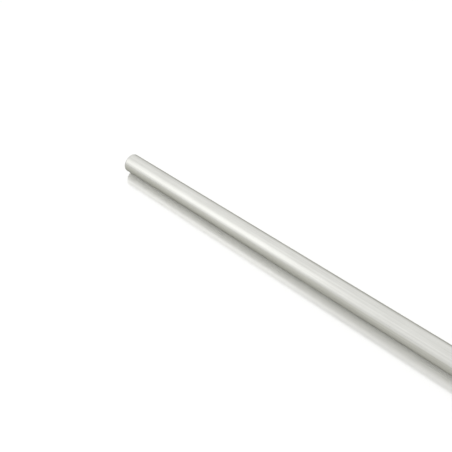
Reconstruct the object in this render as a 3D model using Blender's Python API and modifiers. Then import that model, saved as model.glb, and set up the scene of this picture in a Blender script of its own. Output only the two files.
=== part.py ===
"""Round aluminium tube: extruded and drawn stock, sawn square to length, with both ends deburred.

The tube lies on a level floor along X. The origin is half way along it, on the line that it rests on.
"""

import math

import bpy

# Driving dimensions, in metres
OUTSIDE_DIAMETER = 0.025
WALL = 0.002
LENGTH = 1.0
OUTER_EDGE_RADIUS = 0.0007  # rounding of each cut end's outer edge
BORE_EDGE_CHAMFER = 0.0003  # 45 degree bevel that the deburring tool leaves at each mouth of the bore

# Facets
STEPS_AROUND = 96
STEPS_ON_EDGE = 4
SHARP_ANGLE = math.radians(30)
HALF_STEP = math.pi / STEPS_AROUND

# Mill finish aluminium, as linear colour
MILL_COLOUR = (0.64, 0.64, 0.61, 1.0)
MILL_ROUGHNESS = 0.31

COLLECTION_NAME = "aluminium_tube"


def clear_scene():
    for old in list(bpy.data.objects):
        bpy.data.objects.remove(old, do_unlink=True)


def new_collection(name):
    collection = bpy.data.collections.new(name)
    bpy.context.scene.collection.children.link(collection)
    return collection


def mill_aluminium():
    material = bpy.data.materials.new("mill_aluminium")
    material.use_nodes = True
    shader = material.node_tree.nodes["Principled BSDF"]
    shader.inputs["Base Color"].default_value = MILL_COLOUR
    shader.inputs["Metallic"].default_value = 1.0
    shader.inputs["Roughness"].default_value = MILL_ROUGHNESS
    return material


def rounded_edge(centre_radius, centre_height, start_angle):
    """Points of a quarter turn about a centre in the section, clockwise from start_angle."""
    points = []
    for step in range(STEPS_ON_EDGE + 1):
        angle = start_angle - math.pi / 2 * step / STEPS_ON_EDGE
        points.append(
            (
                centre_radius + OUTER_EDGE_RADIUS * math.cos(angle),
                centre_height + OUTER_EDGE_RADIUS * math.sin(angle),
            )
        )
    return points


def wall_section():
    """The cut wall as (distance from the axis, place along it), from the outer edge at one end round to the bore."""
    outer = OUTSIDE_DIAMETER / 2
    bore = outer - WALL
    half = LENGTH / 2
    edge_centre = outer - OUTER_EDGE_RADIUS
    section = rounded_edge(edge_centre, half - OUTER_EDGE_RADIUS, math.pi / 2)
    section += rounded_edge(edge_centre, -half + OUTER_EDGE_RADIUS, 0.0)
    section += [
        (bore + BORE_EDGE_CHAMFER, -half),
        (bore, -half + BORE_EDGE_CHAMFER),
        (bore, half - BORE_EDGE_CHAMFER),
        (bore + BORE_EDGE_CHAMFER, half),
    ]
    return section


def turned_tube(collection):
    """The wall section turned about Z by a Screw modifier, then laid along X and raised onto the floor.

    The section starts half a step round, so that the tube lies on one of its sides and not on a corner.
    """
    section = wall_section()
    corners = [
        (radius * math.cos(HALF_STEP), radius * math.sin(HALF_STEP), height)
        for radius, height in section
    ]
    sides = [(i, (i + 1) % len(corners)) for i in range(len(corners))]
    mesh = bpy.data.meshes.new("tube")
    mesh.from_pydata(corners, sides, [])
    tube = bpy.data.objects.new("tube", mesh)
    collection.objects.link(tube)

    turn = tube.modifiers.new("turn", "SCREW")
    turn.axis = "Z"
    turn.angle = 2 * math.pi
    turn.steps = STEPS_AROUND
    turn.render_steps = STEPS_AROUND
    bpy.context.view_layer.objects.active = tube
    bpy.ops.object.modifier_apply(modifier=turn.name)

    tube.data.shade_smooth()
    tube.data.set_sharp_from_angle(angle=SHARP_ANGLE)
    tube.rotation_euler = (0.0, math.pi / 2, 0.0)
    tube.location = (0.0, 0.0, OUTSIDE_DIAMETER / 2 * math.cos(HALF_STEP))
    return tube


def main():
    clear_scene()
    collection = new_collection(COLLECTION_NAME)
    tube = turned_tube(collection)
    tube.data.materials.append(mill_aluminium())


main()
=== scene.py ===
"""Mill-finish round aluminium tube, lying on a glossy white table under a long softbox.

Everything is in metres. The tube lies along X with its axis over the X axis, and Z is up.
"""

import math

import bmesh
import bpy
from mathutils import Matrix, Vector


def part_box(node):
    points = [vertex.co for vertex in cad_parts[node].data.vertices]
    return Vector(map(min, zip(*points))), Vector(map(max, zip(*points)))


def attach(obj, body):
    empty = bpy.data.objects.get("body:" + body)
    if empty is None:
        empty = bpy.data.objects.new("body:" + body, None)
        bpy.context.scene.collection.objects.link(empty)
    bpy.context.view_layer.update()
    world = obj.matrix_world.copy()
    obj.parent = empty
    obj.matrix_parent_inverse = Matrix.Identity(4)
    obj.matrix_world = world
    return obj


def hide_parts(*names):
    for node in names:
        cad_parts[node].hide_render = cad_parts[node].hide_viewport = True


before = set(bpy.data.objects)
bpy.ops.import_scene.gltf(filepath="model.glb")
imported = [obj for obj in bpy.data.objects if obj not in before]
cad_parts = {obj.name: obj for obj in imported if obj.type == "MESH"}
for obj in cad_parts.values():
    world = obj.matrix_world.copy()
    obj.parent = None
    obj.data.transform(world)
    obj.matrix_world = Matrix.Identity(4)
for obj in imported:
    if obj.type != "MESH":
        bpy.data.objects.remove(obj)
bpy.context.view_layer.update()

# The tube
WALL = 0.002
EDGE_RADIUS = 0.0007  # rounding that the deburring wheel leaves on each cut end
MOUTH_CHAMFER = 0.0003  # bevel that the hand scraper leaves at each mouth of the bore
SIDES = 256  # straight sides of its round outline
STRETCHES = 20  # equal lengths that its surface is divided into, end to end
EDGE_STEPS = 6  # facets across the rounding of each outer edge
HOLDING_LOOP = 0.0002  # gap between a worked edge and the loop that keeps the shading straight beside it
SMOOTH_BELOW = math.radians(30)  # faces that meet at a smaller angle are shaded as one surface
FACING_ALONG = 0.9  # least share of a normal along the tube that makes its face an end
END_TOLERANCE = 1e-6  # how far off the plane of an end a point may be
RIM_TOLERANCE = 1e-4  # how far off a rim's radius a point may be

# Its finishes, as places in its list of materials
OUTSIDE, BORE, SAWN, DEBURRED_AND_SHADED = range(4)
GRAZING_TINT = "C2C2BF"  # how dull the metal stays where the light grazes it
NOISE_LOW, NOISE_HIGH = 0.3, 0.7  # range that nearly all of a noise texture lies in
BAND_SHARE = 0.4  # of the wide bands in the marks of drawing
OXIDE_SHARE = 0.25  # of the oxide's patches in all marks on the outside
BLADE_RADIUS = 0.175  # cold saw blade
BLADE_ASIDE, BLADE_ABOVE = 0.45, 0.89  # from the tube's axis to the blade's centre, in blade radii
WAVE_PERIOD = math.pi / 10  # one wave of Blender's wave texture at a scale of 1

# The photographer's place: the camera looks down the tube towards its far, left end
CAMERA_PLACE = (-0.0538, -0.3199, 0.4432)
CAMERA_AIM = (-0.3334, 0.0027, 0.0)
CAMERA_LENS = 40.0  # mm, on a 36 mm wide sensor
CAMERA_NEAREST = 0.01  # distance from which things show

# The studio
ROOM_LIGHT = 0.82  # strength at which the white room lights the rest; camera and metal see it at 1
SOFTBOX_MIDDLE = -1.1  # along X, beyond the tube's far end, where the camera sees it mirrored
SOFTBOX_LENGTH = 1.12  # short enough for the highlight to fade towards the tube's near end

# The sheet that the tube lies on
FLOOR_SIZE = 60.0
FLOOR_DROP = 0.00001  # keeps it clear of the side that the tube rests on
FLOOR_WHITE = "E0E0DA"  # slightly warm, as the tube's underside shows
FLOOR_ROUGHNESS = 0.18  # blurs the mirror image
FLOOR_MIRROR = 0.66  # share of the mirror image in what the camera sees of the sheet
FLOOR_GLOW = 0.4  # share of plain white in the rest of it
FLOOR_NEAR, FLOOR_FAR = 1.2, 3.0  # distances from the origin between which it turns to plain white


def linear(hex_code):
    """A colour written as an sRGB hex value, as linear light with full alpha."""
    channels = [int(hex_code[i : i + 2], 16) / 255 for i in (0, 2, 4)]
    light = [c / 12.92 if c <= 0.04045 else ((c + 0.055) / 1.055) ** 2.4 for c in channels]
    return (*light, 1.0)


def per_metre(millimetres):
    """How many lengths of this many millimetres make a metre, which is a pattern's scale."""
    return 1000.0 / millimetres


def add_node(tree, kind, settings=(), inputs=()):
    """Adds a node, sets its properties, and sets each named input or links an output socket to it."""
    node = tree.nodes.new(kind)
    for name, value in dict(settings).items():
        setattr(node, name, value)
    for name, value in dict(inputs).items():
        if isinstance(value, bpy.types.NodeSocket):
            tree.links.new(value, node.inputs[name])
        else:
            node.inputs[name].default_value = value
    return node


def straight_marks(tree, along, around):
    """Marks that run straight along the tube, from 0 to 1: one is along by around, in millimetres."""
    place = add_node(tree, "ShaderNodeTexCoord").outputs["Object"]
    scale = (per_metre(along), per_metre(around), per_metre(around))
    stretched = add_node(tree, "ShaderNodeMapping", inputs={"Vector": place, "Scale": scale})
    noise = add_node(
        tree,
        "ShaderNodeTexNoise",
        inputs={"Vector": stretched.outputs[0], "Scale": 1.0, "Detail": 5.0, "Roughness": 0.6},
    )
    marks = add_node(
        tree,
        "ShaderNodeMapRange",
        inputs={"Value": noise.outputs["Fac"], "From Min": NOISE_LOW, "From Max": NOISE_HIGH},
    )
    return marks.outputs["Result"]


def turned_marks(tree, axis_height, apart):
    """Scratches that run round the tube's axis, from 0 to 1, this many millimetres apart."""
    place = add_node(tree, "ShaderNodeTexCoord").outputs["Object"]
    from_axis = add_node(
        tree,
        "ShaderNodeMapping",
        inputs={"Vector": place, "Location": (0.0, 0.0, -axis_height), "Scale": (0.0, 1.0, 1.0)},
    )
    radius = add_node(
        tree, "ShaderNodeVectorMath", {"operation": "LENGTH"}, {0: from_axis.outputs[0]}
    )
    along = add_node(tree, "ShaderNodeSeparateXYZ", inputs={0: place})
    section = add_node(
        tree,
        "ShaderNodeCombineXYZ",
        inputs={"X": along.outputs["X"], "Y": radius.outputs["Value"]},
    )
    noise = add_node(
        tree,
        "ShaderNodeTexNoise",
        inputs={"Vector": section.outputs[0], "Scale": per_metre(apart), "Detail": 2.0},
    )
    marks = add_node(
        tree,
        "ShaderNodeMapRange",
        inputs={"Value": noise.outputs["Fac"], "From Min": NOISE_LOW, "From Max": NOISE_HIGH},
    )
    return marks.outputs["Result"]


def saw_arcs(tree, blade_centre, apart):
    """Arcs that a round blade's teeth leave across a cut face, from 0 to 1, this many mm apart.

    A little distortion keeps them from being as even as a drawing.
    """
    place = add_node(tree, "ShaderNodeTexCoord").outputs["Object"]
    from_blade = add_node(
        tree,
        "ShaderNodeMapping",
        inputs={"Vector": place, "Location": tuple(-c for c in blade_centre)},
    )
    arcs = add_node(
        tree,
        "ShaderNodeTexWave",
        {"wave_type": "RINGS", "rings_direction": "X"},
        {
            "Vector": from_blade.outputs[0],
            "Scale": per_metre(apart) * WAVE_PERIOD,
            "Distortion": 3.0,
            "Detail": 3.0,
            "Detail Scale": 0.6,
        },
    )
    return arcs.outputs["Fac"]


def bare_aluminium(name, find_marks, colours, roughnesses, depth):
    """Bare metal whose tone, gloss and relief follow its marks, from their low to their high places."""
    material = bpy.data.materials.new(name)
    material.use_nodes = True
    tree = material.node_tree
    tree.nodes.clear()
    marks = find_marks(tree)
    colour = add_node(
        tree,
        "ShaderNodeMix",
        {"data_type": "RGBA"},
        {"Factor": marks, "A": linear(colours[0]), "B": linear(colours[1])},
    )
    roughness = add_node(
        tree,
        "ShaderNodeMapRange",
        inputs={"Value": marks, "To Min": roughnesses[0], "To Max": roughnesses[1]},
    )
    relief = add_node(
        tree, "ShaderNodeBump", inputs={"Height": marks, "Strength": 1.0, "Distance": depth}
    )
    shader = add_node(
        tree,
        "ShaderNodeBsdfPrincipled",
        inputs={
            "Base Color": colour.outputs["Result"],
            "Metallic": 1.0,
            "Specular Tint": linear(GRAZING_TINT),
            "Roughness": roughness.outputs["Result"],
            "Normal": relief.outputs["Normal"],
        },
    )
    add_node(tree, "ShaderNodeOutputMaterial", inputs={"Surface": shader.outputs["BSDF"]})
    return material


def drawn_outside():
    """Mill-finish aluminium drawn through a polished die: satin, with faint lines along the tube.

    Real die lines are some 0.1 mm apart. These are drawn coarser, so that they show. Wider bands
    lie where the die is worn, and soft patches where the oxide is thicker.
    """

    def marks(tree):
        lines = straight_marks(tree, along=300, around=1.2)
        bands = straight_marks(tree, along=700, around=4.0)
        oxide = straight_marks(tree, along=45, around=12)
        drawn = add_node(
            tree, "ShaderNodeMix", inputs={"Factor": BAND_SHARE, "A": lines, "B": bands}
        )
        skin = add_node(
            tree,
            "ShaderNodeMix",
            inputs={"Factor": OXIDE_SHARE, "A": drawn.outputs["Result"], "B": oxide},
        )
        return skin.outputs["Result"]

    return bare_aluminium(
        "drawn_outside",
        marks,
        colours=("BEBEB9", "E2E2DE"),
        roughnesses=(0.22, 0.42),
        depth=0.000020,
    )


def drawn_bore():
    """Mill-finish aluminium drawn over a mandrel: dull and ribbed lengthwise.

    Real ribs are some 0.3 mm apart. These are drawn coarser, so that they show. The bore is
    grey at its mouth and dark further in.
    """
    return bare_aluminium(
        "drawn_bore",
        lambda tree: straight_marks(tree, along=160, around=0.9),
        colours=("D0D0CC", "E2E2DF"),
        roughnesses=(0.62, 0.76),
        depth=0.000012,
    )


def sawn_face(axis_height):
    """Freshly sawn aluminium: brighter than the drawn skin, with the arcs of a cold saw's teeth.

    Real arcs are some 0.15 mm apart. These are drawn coarser, so that they show.
    """
    aside = BLADE_RADIUS * BLADE_ASIDE
    above = axis_height + BLADE_RADIUS * BLADE_ABOVE
    return bare_aluminium(
        "sawn_face",
        lambda tree: saw_arcs(tree, blade_centre=(0.0, aside, above), apart=0.5),
        colours=("CCCCC8", "E0E0DD"),
        roughnesses=(0.24, 0.40),
        depth=0.000015,
    )


def deburred_and_shaded_edge(axis_height):
    """Aluminium rubbed by a deburring wheel, with fine scratches round the rim.

    Its grey is darker than the drawn skin's. That is partly the wheel's dull rub and partly painted
    shade, which outlines the rounded rim as a darker line. Real scratches are some 0.05 mm apart.
    These are drawn coarser, so that they show.
    """
    return bare_aluminium(
        "deburred_and_shaded_edge",
        lambda tree: turned_marks(tree, axis_height, apart=0.2),
        # darker than the drawn skin: partly the wheel's dull rub, partly painted shade along the rim's
        # outline
        colours=("ACACA8", "C2C2BE"),
        roughnesses=(0.34, 0.48),
        depth=0.000006,
    )


def select(piece, kind, wanted):
    """In edit mode, selects only the edges or faces that wanted() accepts."""
    bpy.ops.mesh.select_mode(type=kind)
    bpy.ops.mesh.select_all(action="DESELECT")
    mesh = bmesh.from_edit_mesh(piece.data)
    for element in {"EDGE": mesh.edges, "FACE": mesh.faces}[kind]:
        element.select_set(wanted(element))
    mesh.select_flush_mode()
    bmesh.update_edit_mesh(piece.data)


def tube_stock():
    """The tube: a solid bar whose ends are inset by the wall and bridged into the bore, then deburred."""
    low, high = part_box("tube")
    radius = (high.y - low.y) / 2
    half = (high.x - low.x) / 2
    centre = (low + high) / 2
    bore = radius - WALL

    def off_axis(point):
        return math.hypot(point.y - centre.y, point.z - centre.z)

    def on_rim(edge, rim_radius):
        return all(
            abs(abs(v.co.x) - half) < END_TOLERANCE
            and abs(off_axis(v.co) - rim_radius) < RIM_TOLERANCE
            for v in edge.verts
        )

    bpy.ops.object.select_all(action="DESELECT")
    bpy.ops.mesh.primitive_cylinder_add(
        vertices=SIDES,
        radius=radius,
        depth=2 * half,
        end_fill_type="NGON",
        calc_uvs=False,
        location=centre,
        rotation=(0.0, math.pi / 2, 0.0),
    )
    tube = bpy.context.object
    tube.name = tube.data.name = "round_tube"
    bpy.ops.object.transform_apply(location=True, rotation=True, scale=True)

    # The bore, right through
    bpy.ops.object.mode_set(mode="EDIT")
    select(tube, "FACE", lambda face: abs(face.normal.x) > FACING_ALONG)
    bpy.ops.mesh.inset(thickness=WALL)
    bpy.ops.mesh.bridge_edge_loops()

    # Rings along the tube, and a holding loop beside each edge that is worked
    select(tube, "EDGE", lambda edge: abs(edge.verts[0].co.x - edge.verts[1].co.x) > half)
    bpy.ops.mesh.subdivide(number_cuts=STRETCHES - 1)
    for side in (-1, 1):
        for worked in (EDGE_RADIUS, MOUTH_CHAMFER):
            bpy.ops.mesh.select_all(action="SELECT")
            bpy.ops.mesh.bisect(
                plane_co=(side * (half - worked - HOLDING_LOOP), 0.0, 0.0),
                plane_no=(1.0, 0.0, 0.0),
            )

    # The worked edges: the outer one is rounded, and the mouth of the bore bevelled
    select(tube, "EDGE", lambda edge: on_rim(edge, radius))
    bpy.ops.mesh.bevel(offset=EDGE_RADIUS, segments=EDGE_STEPS, profile=0.5, affect="EDGES")
    select(tube, "EDGE", lambda edge: on_rim(edge, bore))
    bpy.ops.mesh.bevel(offset=MOUTH_CHAMFER, segments=1, affect="EDGES")
    bpy.ops.object.mode_set(mode="OBJECT")

    bpy.ops.object.shade_smooth_by_angle(angle=SMOOTH_BELOW)

    finishes = (drawn_outside(), drawn_bore(), sawn_face(centre.z), deburred_and_shaded_edge(centre.z))
    for finish in finishes:
        tube.data.materials.append(finish)
    for face in tube.data.polygons:
        along = abs(face.center.x)
        out = off_axis(face.center)
        if along > half - END_TOLERANCE:
            face.material_index = SAWN
        # the rounded rim and the mouth's bevel take the deburred finish, whose darker grey is partly
        # painted shade
        elif along > half - EDGE_RADIUS and out > radius - EDGE_RADIUS:
            face.material_index = DEBURRED_AND_SHADED
        elif along > half - MOUTH_CHAMFER:
            face.material_index = DEBURRED_AND_SHADED
        elif out > radius - WALL / 2:
            face.material_index = OUTSIDE
        else:
            face.material_index = BORE

    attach(tube, "root")
    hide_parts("tube")


def seen_by_gloss(tree):
    """1 for rays from the camera and for those that metal or glass sends on, and 0 for the rest."""
    path = add_node(tree, "ShaderNodeLightPath")
    first = add_node(
        tree,
        "ShaderNodeMath",
        {"operation": "MAXIMUM"},
        {0: path.outputs["Is Camera Ray"], 1: path.outputs["Is Glossy Ray"]},
    )
    both = add_node(
        tree,
        "ShaderNodeMath",
        {"operation": "MAXIMUM"},
        {0: first.outputs["Value"], 1: path.outputs["Is Transmission Ray"]},
    )
    return both.outputs["Value"]


def white_surroundings():
    """A white room that the camera and the metal see, with an even light of its own."""
    world = bpy.data.worlds.new("white_room")
    world.use_nodes = True
    tree = world.node_tree
    tree.nodes.clear()
    light = add_node(
        tree, "ShaderNodeBackground", inputs={"Color": linear("FFFFFF"), "Strength": ROOM_LIGHT}
    )
    backdrop = add_node(
        tree, "ShaderNodeBackground", inputs={"Color": linear("FFFFFF"), "Strength": 1.0}
    )
    mixed = add_node(
        tree,
        "ShaderNodeMixShader",
        inputs={0: seen_by_gloss(tree), 1: light.outputs[0], 2: backdrop.outputs[0]},
    )
    add_node(tree, "ShaderNodeOutputWorld", inputs={"Surface": mixed.outputs[0]})
    bpy.context.scene.world = world


def table_top():
    """A wide sheet of glossy white acrylic, which mirrors the tube softly and ends in the white room.

    Only the camera sees its gloss and its glow, and the metal sees it matt. Further out both see
    it turn to plain white, so that it has no edge.
    """
    bpy.ops.object.select_all(action="DESELECT")
    bpy.ops.mesh.primitive_plane_add(size=FLOOR_SIZE, location=(0.0, 0.0, -FLOOR_DROP))
    floor = bpy.context.object
    floor.name = "table_top"
    material = bpy.data.materials.new("white_acrylic")
    material.use_nodes = True
    tree = material.node_tree
    tree.nodes.clear()
    path = add_node(tree, "ShaderNodeLightPath")
    coordinates = add_node(tree, "ShaderNodeTexCoord")
    reach = add_node(
        tree,
        "ShaderNodeVectorMath",
        {"operation": "LENGTH"},
        {0: coordinates.outputs["Object"]},
    )
    away = add_node(
        tree,
        "ShaderNodeMapRange",
        {"interpolation_type": "SMOOTHSTEP"},
        {"Value": reach.outputs["Value"], "From Min": FLOOR_NEAR, "From Max": FLOOR_FAR},
    )
    far = add_node(
        tree,
        "ShaderNodeMath",
        {"operation": "MULTIPLY"},
        {0: away.outputs["Result"], 1: seen_by_gloss(tree)},
    )
    glowing = add_node(
        tree,
        "ShaderNodeMath",
        {"operation": "MULTIPLY"},
        {0: path.outputs["Is Camera Ray"], 1: FLOOR_GLOW},
    )
    mirrored = add_node(
        tree,
        "ShaderNodeMath",
        {"operation": "MULTIPLY"},
        {0: path.outputs["Is Camera Ray"], 1: FLOOR_MIRROR},
    )
    white = add_node(tree, "ShaderNodeBsdfDiffuse", inputs={"Color": linear(FLOOR_WHITE)})
    backdrop = add_node(
        tree, "ShaderNodeEmission", inputs={"Color": linear("FFFFFF"), "Strength": 1.0}
    )
    shine = add_node(
        tree,
        "ShaderNodeBsdfGlossy",
        inputs={"Color": linear("FFFFFF"), "Roughness": FLOOR_ROUGHNESS},
    )
    body = add_node(
        tree,
        "ShaderNodeMixShader",
        inputs={0: glowing.outputs["Value"], 1: white.outputs[0], 2: backdrop.outputs[0]},
    )
    glossy_body = add_node(
        tree,
        "ShaderNodeMixShader",
        inputs={0: mirrored.outputs["Value"], 1: body.outputs[0], 2: shine.outputs[0]},
    )
    sheet = add_node(
        tree,
        "ShaderNodeMixShader",
        inputs={0: far.outputs["Value"], 1: glossy_body.outputs[0], 2: backdrop.outputs[0]},
    )
    add_node(tree, "ShaderNodeOutputMaterial", inputs={"Surface": sheet.outputs[0]})
    floor.data.materials.append(material)


def softbox(name, place, aim, size, radiance):
    """A flat lamp of this size, turned to aim. radiance is what a mirror would show of it."""
    lamp = bpy.data.lights.new(name, "AREA")
    lamp.shape = "RECTANGLE"
    lamp.size, lamp.size_y = size
    # A flat lamp in Blender has a radiance of its energy over four times its area
    lamp.energy = 4 * radiance * size[0] * size[1]
    holder = bpy.data.objects.new(name, lamp)
    holder.location = place
    holder.rotation_euler = (Vector(aim) - Vector(place)).to_track_quat("-Z", "Y").to_euler()
    holder.visible_camera = False
    bpy.context.scene.collection.objects.link(holder)


def studio_lamps():
    """A wide scrim over the table, and a long softbox whose soft edge is a wider and weaker one."""
    softbox(
        "overhead_scrim",
        place=(0.0, 0.6, 1.6),
        aim=(0.0, 0.6, 0.0),
        size=(12.0, 12.0),
        radiance=0.10,
    )
    softbox(
        "long_softbox",
        place=(SOFTBOX_MIDDLE, -0.9, 0.74),
        aim=(SOFTBOX_MIDDLE, 0.0, 0.0),
        size=(SOFTBOX_LENGTH, 1.05),
        radiance=0.292,
    )
    softbox(
        "softbox_edge",
        place=(SOFTBOX_MIDDLE, -0.66, 1.0),
        aim=(SOFTBOX_MIDDLE, 0.0, 0.0),
        size=(SOFTBOX_LENGTH, 1.3),
        radiance=0.112,
    )


def camera():
    """The camera at the photographer's place, aimed along the tube."""
    lens = bpy.data.cameras.new("camera")
    lens.lens = CAMERA_LENS
    lens.clip_start = CAMERA_NEAREST
    holder = bpy.data.objects.new("camera", lens)
    holder.location = CAMERA_PLACE
    sight = Vector(CAMERA_AIM) - Vector(CAMERA_PLACE)
    holder.rotation_euler = sight.to_track_quat("-Z", "Y").to_euler()
    bpy.context.scene.collection.objects.link(holder)
    bpy.context.scene.camera = holder


bpy.context.scene.view_settings.view_transform = "Standard"
camera()
white_surroundings()
table_top()
studio_lamps()
tube_stock()
